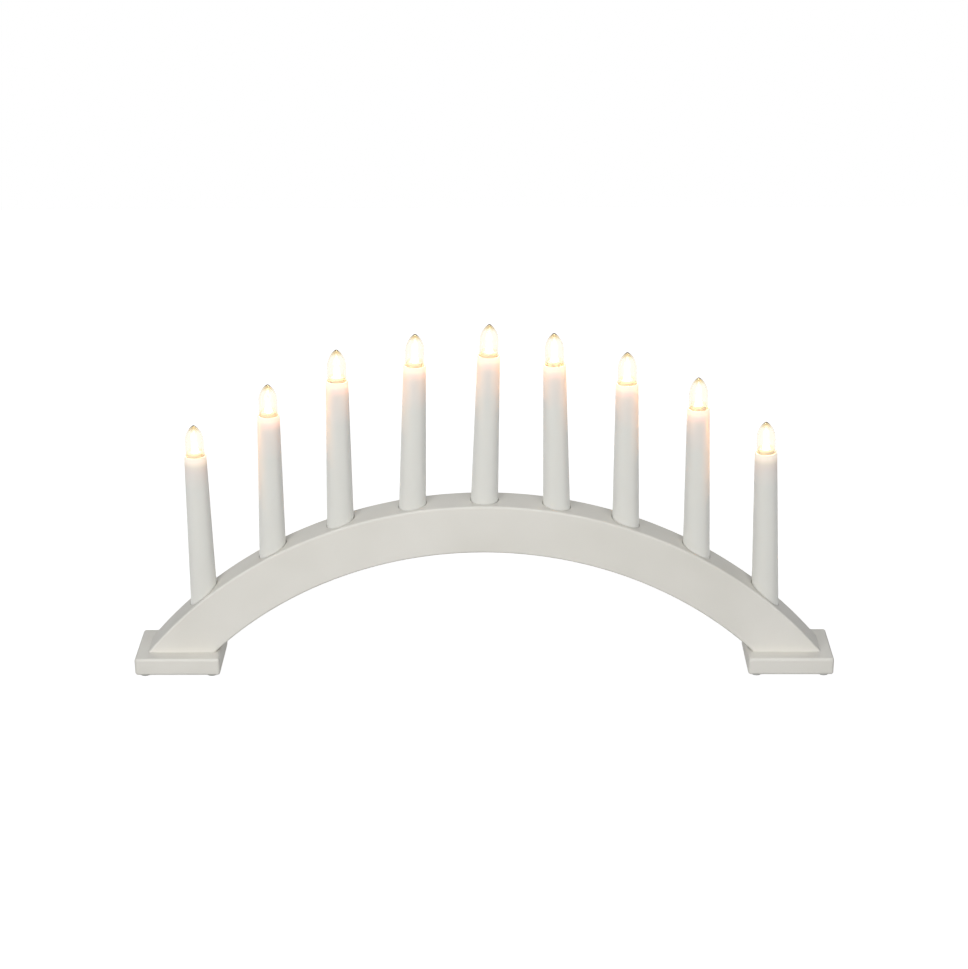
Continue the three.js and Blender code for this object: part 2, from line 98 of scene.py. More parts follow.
def add_node(
    tree: NodeTree, kind: str, settings: dict | None = None, links: dict | None = None
) -> Node:
    """Adds a node, sets its values and links its inputs.

    Args:
        tree: the node tree that takes the node.
        kind: the node's type after "ShaderNode", such as "TexNoise".
        settings: values by the name of a property, or by the name or number of an input.
        links: output sockets by the name or number of the input that each goes to.

    Returns:
        The new node.
    """
    made = tree.nodes.new("ShaderNode" + kind)
    for key, value in (settings or {}).items():
        if isinstance(key, str) and key in made.bl_rna.properties:
            setattr(made, key, value)
        else:
            made.inputs[key].default_value = value
    for key, socket in (links or {}).items():
        tree.links.new(socket, made.inputs[key])
    return made


class Shader:
    """A material's shader: its surface, its output and the patterns that drive them."""

    def __init__(self, tree: NodeTree, inputs: Inputs) -> None:
        """Empties the tree and starts it with a surface.

        Args:
            tree: the material's node tree.
            inputs: names and values of the surface's inputs, where a text is a hex colour.
        """
        tree.nodes.clear()
        self.tree = tree
        self.output = add_node(tree, "OutputMaterial")
        values = {name: linear(v) if isinstance(v, str) else v for name, v in inputs}
        self.surface = add_node(tree, "BsdfPrincipled", values)
        tree.links.new(self.surface.outputs["BSDF"], self.output.inputs["Surface"])

    def add(self, kind: str, settings: dict | None, links: dict, output: str) -> NodeSocket:
        """Adds a node and hands out one of its outputs."""
        return add_node(self.tree, kind, settings, links).outputs[output]

    def drive(self, name: str, socket: NodeSocket) -> None:
        """Lets a socket drive an input of the surface."""
        self.tree.links.new(socket, self.surface.inputs[name])

    def own_space(self) -> NodeSocket:
        """Where a point is in the piece's own space."""
        return self.add("TexCoord", None, {}, "Object")

    def speckle(self, size_mm: float, detail: float = 2.0) -> NodeSocket:
        """A noise pattern, about 0.5 on average, with blotches about this many millimetres wide."""
        settings = {"Scale": 1.0 / (size_mm * MM), "Detail": detail}
        return self.add("TexNoise", settings, {"Vector": self.own_space()}, "Fac")

    def height(self, reach_mm: float) -> NodeSocket:
        """How high a point is, from 0 at the piece's own zero to 1 at this reach, up or down."""
        z = self.add("SeparateXYZ", None, {0: self.own_space()}, "Z")
        return self.add("MapRange", {"From Max": reach_mm * MM}, {"Value": z}, "Result")

    def colour_along(self, name: str, pattern: NodeSocket, stops: Stops) -> None:
        """Lets a colour of the surface follow a pattern.

        Args:
            name: the colour input.
            pattern: a value socket.
            stops: positions from 0 to 1 in rising order, each with its hex colour.
        """
        ramp = add_node(self.tree, "ValToRGB", None, {"Fac": pattern})
        elements = ramp.color_ramp.elements
        while len(elements) < len(stops):
            elements.new(1.0)
        for element, (position, colour) in zip(elements, stops):
            element.position = position
            element.color = linear(colour)
        self.drive(name, ramp.outputs["Color"])

    def vary_roughness(self, pattern: NodeSocket, low: float, high: float) -> None:
        """Lets the roughness wander between two values along a noise pattern."""
        settings = {"From Min": NOISE_LOW, "From Max": NOISE_HIGH, "To Min": low, "To Max": high}
        self.drive("Roughness", self.add("MapRange", settings, {"Value": pattern}, "Result"))

    def raise_grain(self, pattern: NodeSocket, height_mm: float, strength: float) -> None:
        """Gives the surface a relief of about this height along a pattern."""
        settings = {"Strength": strength, "Distance": height_mm * MM}
        self.drive("Normal", self.add("Bump", settings, {"Height": pattern}, "Normal"))


# Finishes


@dataclass(frozen=True)
class Finish(ABC):
    """A surface finish: what the material is and how its surface was made."""

    name: str
    slot: str
    tint: str
    inputs: Inputs = ()

    def material(self) -> Material:
        """Makes the material once, and hands out the same one after that.

        Returns:
            The material.
        """
        made = bpy.data.materials.get(self.name)
        if made is None:
            made = bpy.data.materials.new(self.name)
            made.use_nodes = True
            self.dress(Shader(made.node_tree, (("Base Color", self.tint), *self.inputs)))
        return made

    @abstractmethod
    def dress(self, shader: Shader) -> None:
        """Adds the patterns of this finish to its shader."""


@dataclass(frozen=True)
class GrainedFinish(Finish):
    """A finish whose colour, polish and relief wander in patches, each of its own size."""

    shade: str = "CFCBC2"
    patch_mm: float = 9.0
    polish_mm: float = 5.0
    smooth: float = 0.5
    rough: float = 0.65
    grain_mm: float = 0.8
    grain_height_mm: float = 0.02
    grain_strength: float = 0.5
    grain_detail: float = 2.0

    def dress(self, shader: Shader) -> None:
        """Adds the three patterns.

        Args:
            shader: the material's shader.
        """
        stops = ((NOISE_LOW, self.shade), (NOISE_HIGH, self.tint))
        shader.colour_along("Base Color", shader.speckle(self.patch_mm), stops)
        shader.vary_roughness(shader.speckle(self.polish_mm), self.smooth, self.rough)
        grain = shader.speckle(self.grain_mm, self.grain_detail)
        shader.raise_grain(grain, self.grain_height_mm, self.grain_strength)


@dataclass(frozen=True)
class RolledPaint(GrainedFinish):
    """Matt water-based paint, rolled on fibreboard and rubbed down between coats.

    The eye gets an even, slightly warm white with a low sheen, a faint stipple from the roller and
    very soft drifts in tone where the coats differ in thickness.
    """

    inputs: Inputs = (("IOR", 1.47), ("Specular IOR Level", 0.35))
    shade: str = "DAD7CE"
    patch_mm: float = 70.0
    polish_mm: float = 70.0 / 3
    rough: float = 0.62
    grain_mm: float = 1.6
    grain_height_mm: float = 0.05
    grain_detail: float = 3.0


@dataclass(frozen=True)
class MilkyPlastic(Finish):
    """Injection-moulded polypropylene, milky white with a satin skin.

    Light soaks into it, so that a tube shades softly from side to side. Below the rim a painted glow
    stands in for the bulb's light shining through the wall: the first millimetres are almost white,
    then the painted glow turns peach and is gone within about three centimetres.
    """

    inputs: Inputs = (
        ("IOR", 1.49),
        ("Roughness", 0.45),
        # It scatters so evenly that a tube's sides stay almost as light as its front.
        ("Diffuse Roughness", 1.0),
        # Light soaks in about two millimetres, red the furthest.
        ("Subsurface Weight", 0.25),
        ("Subsurface Radius", (1.0, 0.92, 0.84)),
        ("Subsurface Scale", 2.0 * MM),
        # Strength of the painted glow below the rim, which stands in for the bulb's light.
        ("Emission Strength", 0.75),
    )
    grain_mm: float = 2.5
    grain_height_mm: float = 0.02
    grain_strength: float = 0.4
    # Millimetres below the rim, each with the colour of the painted glow there.
    painted_glow: Stops = (
        (0.0, "FFAF89"),
        (2.8, "F4A783"),
        (5.4, "BC7D60"),
        (7.8, "9A6446"),
        (10.5, "74472C"),
        (13.3, "623820"),
        (18.8, "502712"),
        (26.8, "381409"),
        (33.8, "000000"),
    )

    def dress(self, shader: Shader) -> None:
        """Adds a satin grain, and a painted glow that fades down from the rim at the piece's own
        zero.

        Args:
            shader: the material's shader.
        """
        grain = shader.speckle(self.grain_mm)
        shader.raise_grain(grain, self.grain_height_mm, self.grain_strength)
        deepest = self.painted_glow[-1][0]
        stops = [(below / deepest, colour) for below, colour in self.painted_glow]
        shader.colour_along("Emission Color", shader.height(-deepest), stops)


@dataclass(frozen=True)
class LitGlass(Finish):
    """Clear blown glass of a small bulb, lit from inside.

    The thin walls are almost clear, and the glass takes out some blue where it is seen along the
    wall.
    Its solid tip is painted tan as painted shade, and its foot a pale warm tan as painted light of
    the emitter caught in the seal. A faint painted glow stands in for the light inside the glass.
    """

    inputs: Inputs = (
        ("Roughness", 0.02),
        ("IOR", 1.5),
        ("Transmission Weight", 1.0),
        # A faint painted glow of the whole glass, standing in for the light inside the bulb.
        ("Emission Color", "FFE3B0"),
        ("Emission Strength", 0.03),
    )
    absorbed: str = "D9BF56"
    density: float = 120.0
    height: float = 24.2
    # Shares of the height, each with the colour of the glass there: painted light at the foot,
    # painted shade at the tip.
    painted_tints: Stops = (
        (0.1, "FCF4E4"),
        (0.16, "FFFFFF"),
        (0.79, "FFFFFF"),
        (0.88, "EDE2C8"),
        (1.0, "E0D0AE"),
    )

    def dress(self, shader: Shader) -> None:
        """Takes out blue along the glass's thickness, and paints light on its foot and shade on its
        tip.

        Args:
            shader: the material's shader.
        """
        settings = {"Color": linear(self.absorbed), "Density": self.density}
        depth = add_node(shader.tree, "VolumeAbsorption", settings)
        shader.tree.links.new(depth.outputs["Volume"], shader.output.inputs["Volume"])
        shader.colour_along("Base Color", shader.height(self.height), self.painted_tints)


@dataclass(frozen=True)
class WarmEmitter(Finish):
    """Phosphor dome of a small light emitter: a yellow resin that shines warm white."""

    inputs: Inputs = (("Roughness", 0.35), ("Emission Strength", 4.0))
    shade: str = "FFE9C8"
    patch_mm: float = 0.8

    def dress(self, shader: Shader) -> None:
        """Makes the glow slightly uneven."""
        stops = ((0.2, self.shade), (0.8, self.tint))
        shader.colour_along("Emission Color", shader.speckle(self.patch_mm), stops)


@dataclass(frozen=True)
class LitCeramic(GrainedFinish):
    """Pressed steatite under the emitter: pale grey, matt and speckled, tan from a painted glow of
    light.
    """

    # A faint tan painted glow, standing in for the bulb's light falling on the seal.
    inputs: Inputs = (("IOR", 1.6), ("Emission Color", "FFD9A8"), ("Emission Strength", 0.05))
    shade: str = "AEAEAA"
    patch_mm: float = 0.9
    polish_mm: float = 2.0
    smooth: float = 0.6
    rough: float = 0.75
    grain_mm: float = 0.5
    grain_height_mm: float = 0.03


@dataclass(frozen=True)
class PlatedMetal(GrainedFinish):
    """Metal with a thin bright plating: fine drawing lines and a slightly uneven polish."""

    inputs: Inputs = (("Metallic", 1.0),)
    shade: str = "9B978E"
    patch_mm: float = 3.0
    polish_mm: float = 1.2
    smooth: float = 0.22
    rough: float = 0.4
    grain_mm: float = 0.35
    grain_height_mm: float = 0.01
    grain_strength: float = 0.4


@dataclass(frozen=True)
class MouldedPlastic(GrainedFinish):
    """Moulded plastic or rubber: a spark-eroded grain from the mould and a dull sheen.

    The real grain is finer. It is drawn as coarse as it needs to show in a render.
    """

    inputs: Inputs = (("IOR", 1.5),)


PAINT = RolledPaint("rolled_matt_paint", "painted_board", "E2DFD7")
CANDLE = MilkyPlastic("milky_polypropylene", "candle_plastic", "DDDCD6")
# The end candles, with a neighbour on one side only, have a cooler, shorter painted glow.
END_PAINTED_GLOW: Stops = (
    (0.0, "B79E84"),
    (2.8, "B29A80"),
    (5.4, "937A58"),
    (7.8, "684418"),
    (10.5, "582806"),
    (13.3, "451804"),
    (18.8, "300800"),
    (25.8, "000000"),
)
END_CANDLE = replace(CANDLE, name="milky_polypropylene_end", painted_glow=END_PAINTED_GLOW)
GLASS = LitGlass("lit_clear_glass", "bulb_lens", "FFFFFF")
EMITTER = WarmEmitter("phosphor_resin", "bulb_cap_metal", "FFF2DC")
NICKEL = PlatedMetal("nickel_plated_brass", "bulb_cap_metal", "D8D2C4")
SOLDER = PlatedMetal(
    "tin_solder", "bulb_cap_metal", "B9B9B6", shade="8C8C8A", smooth=0.3, rough=0.5
)
SEAL = LitCeramic("pale_steatite", "bulb_cap_metal", "BCBCB8")
VITRITE = MouldedPlastic(
    "black_glass_insulator", "bulb_cap_metal", "1E1C1A", shade="121110", smooth=0.2, rough=0.35
)
HOLDER = MouldedPlastic("moulded_urea", "lampholder_plastic", "E6E2D8")
PAD = MouldedPlastic(
    "soft_silicone", "pad_rubber", "C9C9C5", (("IOR", 1.41),), shade="BDBDB9", grain_mm=0.5
)
ZINC = PlatedMetal("zinc_plated_steel", "screw_steel", "C4C6C8", shade="9A9C9E")
WIRE = MouldedPlastic("wire_pvc", "wire_insulation", "E8E6E0", smooth=0.4, rough=0.5)
GROMMET = MouldedPlastic("soft_white_pvc", "grommet_plastic", "E4E1DA")


# Mesh helpers


class ThreadForm(Enum):
    """Shape of a screw thread's ridge along its pitch."""

    ROUNDED = "rounded"
    SHARP = "sharp"

    def height(self, turn: float) -> float:
        """How high the ridge is, from 0 to 1, this many turns along the thread."""
        rounded = 0.5 - 0.5 * math.cos(2 * math.pi * (turn % 1.0))
        return rounded if self is ThreadForm.ROUNDED else max(0.0, 1.0 - abs(turn % 1.0 - 0.5) * 4.0)


def put_in_scene(name: str, data: ID) -> Object:
    """Makes an object and puts it in the scene.

    Args:
        name: the object's name.
        data: its mesh, lamp or camera.

    Returns:
        The new object.
    """
    made = bpy.data.objects.new(name, data)
    bpy.context.scene.collection.objects.link(made)
    return made


def spread(start: float, end: float, steps: int) -> list[float]:
    """Values from start to end in even steps, both included."""
    return [start + (end - start) * k / steps for k in range(steps + 1)]


def crisp(mesh: Mesh, crease_deg: float) -> None:
    """Shades a mesh smooth, apart from its folds.

    Args:
        mesh: the mesh.
        crease_deg: folds sharper than this angle stay crisp.
    """
    for face in mesh.polygons:
        face.use_smooth = True
    mesh.set_sharp_from_angle(angle=math.radians(crease_deg))
    mesh.update()


def new_mesh(
    name: str,
    points: Iterable[Sequence[float]],
    faces: Iterable[Sequence[int]],
    crease_deg: float = CREASE_DEG,
) -> Mesh:
    """Makes a smooth-shaded mesh with sharp edges where it folds.

    Args:
        name: the mesh's name.
        points: corners in metres.
        faces: corner numbers of each face, anticlockwise from outside.
        crease_deg: folds sharper than this angle stay crisp.

    Returns:
        The new mesh.
    """
    mesh = bpy.data.meshes.new(name)
    mesh.from_pydata([tuple(p) for p in points], [], [tuple(f) for f in faces])
    mesh.validate()
    crisp(mesh, crease_deg)
    return mesh


def revolve(
    name: str,
    profile: Profile,
    sides: int,
    closed: bool = False,
    pitch: float = 0.0,
    form: ThreadForm = ThreadForm.ROUNDED,
) -> Mesh:
    """Turns a profile about Z.

    Args:
        name: the mesh's name.
        profile: radius and height of each point, and how deep a thread is there. It runs up the
            outside, so that faces point out.
        sides: points round the circle.
        closed: whether the profile closes on itself.
        pitch: rise of the thread in a turn.
        form: shape of the thread.

    Returns:
        The new mesh, in metres.
    """
    points: list[Vector] = []
    rings: list[list[int]] = []
    for radius, height, *depth in profile:
        if radius == 0:
            rings.append([len(points)])
            points.append(Vector((0, 0, height)) * MM)
            continue
        ring = []
        for i in range(sides):
            turn = i / sides
            ridge = depth[0] * form.height(height / pitch - turn) if depth else 0.0
            angle = 2 * math.pi * turn
            reach = radius + ridge
            ring.append(len(points))
            points.append(Vector((reach * math.cos(angle), reach * math.sin(angle), height)) * MM)
        rings.append(ring)
    if closed:
        rings.append(rings[0])
    faces = []
    for low, high in zip(rings, rings[1:]):
        # A ring on the axis is a single point, which makes triangles.
        lows, highs = len(low), len(high)
        for i in range(sides):
            j = (i + 1) % sides
            corners = [low[i % lows], low[j % lows], high[j % highs], high[i % highs]]
            faces.append(list(dict.fromkeys(corners)))
    return new_mesh(name, points, faces)


def rod(radius: float, low: float, high: float, sides: int) -> Mesh:
    """A plain cylinder along Z, to drill with."""
    return revolve("rod", [(0.0, low), (radius, low), (radius, high), (0.0, high)], sides)


def arc_points(
    centre: Point, radius: float, start_deg: float, end_deg: float, steps: int = EDGE_STEPS
) -> list[Point]:
    """Points along an arc of a profile, ends included."""
    angles = [math.radians(degrees) for degrees in spread(start_deg, end_deg, steps)]
    return [(centre[0] + radius * math.cos(a), centre[1] + radius * math.sin(a)) for a in angles]


def loft_faces(rings: int, count: int, flip: bool) -> list[list[int]]:
    """Faces of a bar whose rings of corners follow one another.

    Args:
        rings: how many rings there are.
        count: corners in a ring.
        flip: whether the rings run clockwise, seen from the far end of the bar.

    Returns:
        The corner numbers of the faces along the bar and at its two ends.
    """
    faces = []
    for k in range(rings - 1):
        a, b = k * count, (k + 1) * count
        for i in range(count):
            j = (i + 1) % count
            faces.append([a + i, b + i, b + j, a + j] if flip else [a + i, a + j, b + j, b + i])
    first = list(range(count))
    last = [(rings - 1) * count + i for i in first]
    return faces + ([first, last[::-1]] if flip else [first[::-1], last])


def tube_along(name: str, route: Sequence[Vector], radius: float, sides: int) -> Mesh:
    """A round wire with closed ends along a route.

    Args:
        name: the mesh's name.
        route: points in millimetres.
        radius: of the wire.
        sides: points round the wire.

    Returns:
        The new mesh, in metres.
    """
    points: list[Vector] = []
    side = Vector((0, 1, 0))
    for k, place in enumerate(route):
        ahead = route[min(k + 1, len(route) - 1)] - route[max(k - 1, 0)]
        along = ahead.normalized()
        side = (side - along * side.dot(along)).normalized()
        other = along.cross(side)
        for i in range(sides):
            angle = 2 * math.pi * i / sides
            out = side * math.cos(angle) + other * math.sin(angle)
            points.append((place + radius * out) * MM)
    return new_mesh(name, points, loft_faces(len(route), sides, flip=False), ROUND_CREASE_DEG)


def carve(mesh: Mesh, tools: Sequence[Mesh], crease_deg: float = CREASE_DEG) -> Mesh:
    """Cuts tools out of a mesh, one after the other.

    Args:
        mesh: the piece's mesh.
        tools: closed meshes in the same space. They are used up.
        crease_deg: folds sharper than this angle stay crisp.

    Returns:
        The carved mesh, under the same name.
    """
    name = mesh.name
    body = put_in_scene("carved", mesh)
    cutters = [put_in_scene("cutter", tool) for tool in tools]
    for cutter in cutters:
        step = body.modifiers.new("cut", "BOOLEAN")
        step.operation = "DIFFERENCE"
        step.solver = "EXACT"
        step.object = cutter
    graph = bpy.context.evaluated_depsgraph_get()
    carved = bpy.data.meshes.new_from_object(body.evaluated_get(graph))
    for used in (body, *cutters):
        old = used.data
        bpy.data.objects.remove(used)
        bpy.data.meshes.remove(old)
    carved.name = name
    carved.materials.clear()
    shape = bmesh.new()
    shape.from_mesh(carved)
    bmesh.ops.remove_doubles(shape, verts=shape.verts, dist=WELD * MM)
    shape.to_mesh(carved)
    shape.free()
    crisp(carved, crease_deg)
    return carved


def moved(mesh: Mesh, place: Matrix) -> Mesh:
    """Carries a mesh to a place and hands it back."""
    mesh.transform(place)
    return mesh


def underside(node: str) -> Matrix:
    """The place in the middle of the underside of a node's box."""
    low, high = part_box(node)
    return Matrix.Translation(Vector(((low.x + high.x) / 2, (low.y + high.y) / 2, low.z)))


def add_piece(
    name: str,
    mesh: Mesh,
    finish: Finish,
    body: str = STAND,
    stands_for: Sequence[str] = (),
    place: Matrix | None = None,
    level_normals: bool = False,
) -> Object:
    """Adds a piece to the object, dresses it and ties it to a body.

    Args:
        name: the piece's name.
        mesh: its mesh.
        finish: its finish.
        body: the body that it moves with.
        stands_for: nodes of the frame that it is shown in place of.
        place: where its own zero is, if not at the frame's origin.
        level_normals: whether its flat faces should shade flat up to their rounded edges.

    Returns:
        The new object.
    """
    piece = put_in_scene(name, mesh)
    if place is not None:
        piece.matrix_world = place
    if not mesh.materials:
        mesh.materials.append(finish.material())
    if level_normals:
        step = piece.modifiers.new("level_normals", "WEIGHTED_NORMAL")
        step.keep_sharp = True
    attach(piece, body)
    if stands_for:
        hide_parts(*stands_for)
    LOG.info("%s rides on %s", name, body)
    return piece


# Sub-assemblies


@dataclass(frozen=True)
class WoodScrew:
    """A countersunk wood screw with a cross recess.

    Its own zero is the middle of its head's flat, with Z along the screw to its point. The sizes of
    its thread are shares of the shank's diameter, and those of its cross are shares of the head.
    """

    shank: float
    head: float
    cone: float
    rim: float
    point: float
    length: float
    head_edge: float = 0.2
    sides: int = 28
    thread_pitch: float = 0.42
    thread_depth: float = 0.13
    rows_per_turn: int = 6
    cross_reach: float = 0.3
    cross_width: float = 0.08
    cross_depth: float = 0.4

    def mesh(self, name: str) -> Mesh:
        """Builds the screw with its thread, and cuts the cross into its head.

        Args:
            name: the mesh's name.

        Returns:
            The new mesh.
        """
        head, edge = self.head / 2, self.head_edge
        pitch = self.thread_pitch * self.shank
        depth = self.thread_depth * self.shank
        root = self.shank / 2 - depth
        neck = self.rim + self.cone
        start, end = neck + pitch, self.length - self.point
        profile = [(0.0, 0.0), (head - edge, 0.0), (head, edge)]
        profile += [(head, self.rim), (root, neck), (root, start)]
        rows = int((end - start) / pitch * self.rows_per_turn)
        profile += [(root, height, depth) for height in spread(start, end, rows)[1:]]
        # The thread runs out along the point, from a little past its middle.
        profile += [(root * 0.55, self.length - self.point * 0.45, depth * 0.6), (0.0, self.length)]
        body = revolve(name, profile, self.sides, pitch=pitch, form=ThreadForm.SHARP)
        return carve(body, [self._slot(0.0), self._slot(math.pi / 2)], ROUND_CREASE_DEG)

    def _slot(self, turn: float) -> Mesh:
        """One bar of the cross recess, tapered towards its floor.

        Args:
            turn: its angle about the screw's axis.

        Returns:
            A closed mesh.
        """
        long, wide = self.cross_reach * self.head, self.cross_width * self.head
        deep = self.cross_depth * (self.rim + self.cone)
        corners = []
        # Above the head and at the floor: the height, and the share of the full length and width.
        for height, length_share, width_share in ((-0.5, 1.0, 1.0), (deep, 0.55, 0.82)):
            for x, y in ((-1, -1), (1, -1), (1, 1), (-1, 1)):
                corner = (x * long * length_share, y * wide * width_share, height)
                corners.append(Vector(corner) * MM)
        faces = [(3, 2, 1, 0), (4, 5, 6, 7), (0, 1, 5, 4), (1, 2, 6, 5), (2, 3, 7, 6), (3, 0, 4, 7)]
        return moved(new_mesh("cross", corners, faces), Matrix.Rotation(turn, 4, "Z"))

    def sink(self, mesh: Mesh, places: Sequence[Matrix], gap: float, below: float) -> Mesh:
        """Carves the room that screws need into a mesh.

        Args:
            mesh: the mesh that they go through.
            places: where they are.
            gap: clearance all round a screw.
            below: how far the room reaches out past the head.

        Returns:
            The carved mesh.
        """
        head, shank = self.head / 2 + gap, self.shank / 2 + gap
        profile = [(0.0, -below), (head, -below), (head, self.rim)]
        profile += [(shank, self.rim + self.cone), (shank, self.length), (0.0, self.length)]
        return carve(mesh, [moved(revolve("screw_room", profile, 32), place) for place in places])

    def add(self, name: str, node: str, places: Sequence[Matrix]) -> None:
        """Adds a numbered screw at each place.

        Args:
            name: the screws' name.
            node: the name of the numbered nodes that they are shown in place of.
            places: where they are.
        """
        mesh = self.mesh(f"{node}_mesh")
        for number, place in enumerate(places, 1):
            add_piece(f"{name}_{number}", mesh, ZINC, stands_for=[f"{node}_{number}"], place=place)


@dataclass
class Bow:
    """The arch board, the wiring in its underside, and the strip and screws that close it."""

    candles: Sequence["Candle"]
    edge: float = 1.8
    steps: int = 150
    past_foot_rad: float = 0.03
    bore_radius: float = 10.8
    bore_rise: float = 40.0
    cover_thickness: float = 2.0
    cover_width: float = 19.0
    cover_edge: float = 0.4
    screw_recess: float = 0.2
    groove_width: float = 9.0
    groove_depth: float = 12.0
    groove_lap: float = 2.0
    groove_edge: float = 0.05
    wire_hole: float = 3.0
    wire_hole_overlap: float = 1.0
    wire_radius: float = 0.9
    wire_steps: int = 60
    grommet_hole: float = 4.0
    grommet_bore: float = 2.4
    grommet_radius: float = 3.7
    grommet_flange: float = 6.0
    grommet_lip: float = 0.7
    grommet_chamfer: float = 0.3
    grommet_lead_in: float = 0.4
    gap: float = 0.3
    margin: float = 5.0
    screw: WoodScrew = WoodScrew(2.2, 4.2, 1.0, 0.3, 2.0, length=9.1)

    def __post_init__(self) -> None:
        """Finds the arch's radii, centre and feet, and the cable's way out, from the frame."""
        low, high = (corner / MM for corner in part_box("arch"))
        cover_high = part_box("wire_cover")[1] / MM
        rise = high.z - low.z
        self.thickness = high.y - low.y
        self.foot_z = low.z
        self.outer_radius = (high.x**2 + rise**2) / (2 * rise)
        self.centre_z = high.z - self.outer_radius
        self.cover_radius = cover_high.z - self.centre_z
        self.inner_radius = self.cover_radius - self.cover_thickness
        self.roof_radius = self.cover_radius + self.groove_depth
        self.bundle_radius = self.cover_radius + self.groove_depth / 2
        self.cover_angle = math.asin(cover_high.x / self.cover_radius)
        low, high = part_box("cable_grommet")
        self.cable_inside, self.cable_outside = low.y / MM, high.y / MM
        middle = (low + high) / 2
        spot = Vector((middle.x, 0, middle.z))
        # The cable goes out of the back, from the middle of the groove.
        self.cable_place = Matrix.Translation(spot) @ Matrix.Rotation(-math.pi / 2, 4, "X")

    def on_arc(self, radius: float, angle: float, y: float = 0.0) -> Vector:
        """A point in millimetres at a radius and an angle from the crown."""
        return Vector((radius * math.sin(angle), y, self.centre_z + radius * math.cos(angle)))

    def facing_out(self, radius: float, angle: float, y: float = 0.0) -> Matrix:
        """The place in metres at a point of the arc, with Z pointing away from the arc's centre."""
        spot = self.on_arc(radius, angle, y) * MM
        return Matrix.Translation(spot) @ Matrix.Rotation(angle, 4, "Y")

    def build(self) -> None:
        """Makes the board with its bores, and everything in its underside."""
        add_piece("arch_board", self._board(), PAINT, stands_for=["arch"], level_normals=True)
        self._add_strip()
        self._add_grommet()
        self._add_wires()

    def _sector(self, low: float, high: float, width: float, edge: float, angle: float) -> Mesh:
        """A rounded bar bent round the arch's centre, closed at both ends.

        Args:
            low: inner radius.
            high: outer radius.
            width: from front to back.
            edge: radius of its long edges.
            angle: from the crown to either end.

        Returns:
            The new mesh.
        """
        near, far = edge - width / 2, width / 2 - edge
        section = arc_points((low + edge, near), edge, 180, 270)
        section += arc_points((high - edge, near), edge, 270, 360)
        section += arc_points((high - edge, far), edge, 0, 90)
        section += arc_points((low + edge, far), edge, 90, 180)
        points = []
        for k in range(self.steps + 1):
            turn = angle * (2 * k / self.steps - 1)
            points += [self.on_arc(radius, turn, y) * MM for radius, y in section]
        return new_mesh("bent_bar", points, loft_faces(self.steps + 1, len(section), flip=True))

    def _board(self) -> Mesh:
        """The arch board, cut level at its feet and carved for the candles and the wires.

        Returns:
            The new mesh.
        """
        reach = math.acos((self.foot_z - self.centre_z) / self.outer_radius) + self.past_foot_rad
        bar = self._sector(self.inner_radius, self.outer_radius, self.thickness, self.edge, reach)
        trimmed = bmesh.new()
        trimmed.from_mesh(bar)
        level = Vector((0, 0, self.foot_z * MM))
        shape = trimmed.verts[:] + trimmed.edges[:] + trimmed.faces[:]
        cut = bmesh.ops.bisect_plane(
            trimmed, geom=shape, plane_co=level, plane_no=(0, 0, 1), clear_inner=True
        )
        rim = [e for e in cut["geom_cut"] if isinstance(e, bmesh.types.BMEdge)]
        bmesh.ops.holes_fill(trimmed, edges=rim)
        bmesh.ops.recalc_face_normals(trimmed, faces=trimmed.faces)
        trimmed.to_mesh(bar)
        trimmed.free()
        bar.name = "arch_board"
        return carve(bar, self._board_tools())

    def _board_tools(self) -> list[Mesh]:
        """What is cut out of the board.

        Returns:
            The groove, its cover's rabbet, the cable hole, and each candle's bore and wire hole.
        """
        under, edge = self.inner_radius - self.margin, self.groove_edge
        groove_angle = self.cover_angle - self.groove_lap / self.inner_radius
        rabbet_angle = self.cover_angle + self.gap / self.inner_radius
        rabbet = (under, self.cover_radius + self.gap, self.cover_width + 2 * self.gap)
        drill = rod(self.grommet_hole, 0.0, self.thickness / 2 + self.margin, 32)
        tools = [
            self._sector(under, self.roof_radius, self.groove_width, edge, groove_angle),
            self._sector(*rabbet, edge, rabbet_angle),
            moved(drill, self.cable_place),
        ]
        for candle in self.candles:
            tools.append(moved(candle.bore_tool(self.bore_radius, self.bore_rise), candle.place))
            angle, reach = candle.wire_direction(self)
            length = reach - self.bundle_radius + self.wire_hole_overlap
            drill = rod(self.wire_hole, 0.0, length, 20)
            tools.append(moved(drill, self.facing_out(self.bundle_radius, angle)))
        return tools

    def _add_grommet(self) -> None:
        """A flanged bush with a rounded lip, pushed in from the back."""
        inner, outer = self.cable_inside, self.cable_outside
        bore, radius, flange = self.grommet_bore, self.grommet_radius, self.grommet_flange
        lip, chamfer, lead_in = self.grommet_lip, self.grommet_chamfer, self.grommet_lead_in
        face = self.thickness / 2 + self.gap
        profile = [(bore + lead_in, inner), (radius - chamfer, inner), (radius, inner + chamfer)]
        profile += [(radius, face), (flange, face)]
        profile += arc_points((flange - lip, outer - lip), lip, 0, 90)
        profile += arc_points((bore + lip, outer - lip), lip, 90, 180)
        profile += [(bore, inner + lead_in)]
        mesh, nodes = revolve("cable_bush", profile, 40, closed=True), ["cable_grommet"]
        add_piece("cable_bush", mesh, GROMMET, stands_for=nodes, place=self.cable_place)

    def _add_strip(self) -> None:
        """The strip that closes the groove, and its small sunk screws, each where its solid is."""
        places: list[Matrix] = []
        while f"cover_screw_{len(places) + 1}" in frame["nodes"]:
            low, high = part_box(f"cover_screw_{len(places) + 1}")
            middle = (low + high) / (2 * MM)
            angle = math.atan2(middle.x, middle.z - self.centre_z)
            places.append(self.facing_out(self.inner_radius + self.screw_recess, angle, middle.y))
        size = (self.inner_radius, self.cover_radius, self.cover_width, self.cover_edge)
        strip = self._sector(*size, self.cover_angle)
        strip.name = "wire_cover_strip"
        strip = self.screw.sink(strip, places, self.gap, self.margin)
        add_piece(strip.name, strip, PAINT, stands_for=["wire_cover"], level_normals=True)
        self.screw.add("strip_screw", "cover_screw", places)

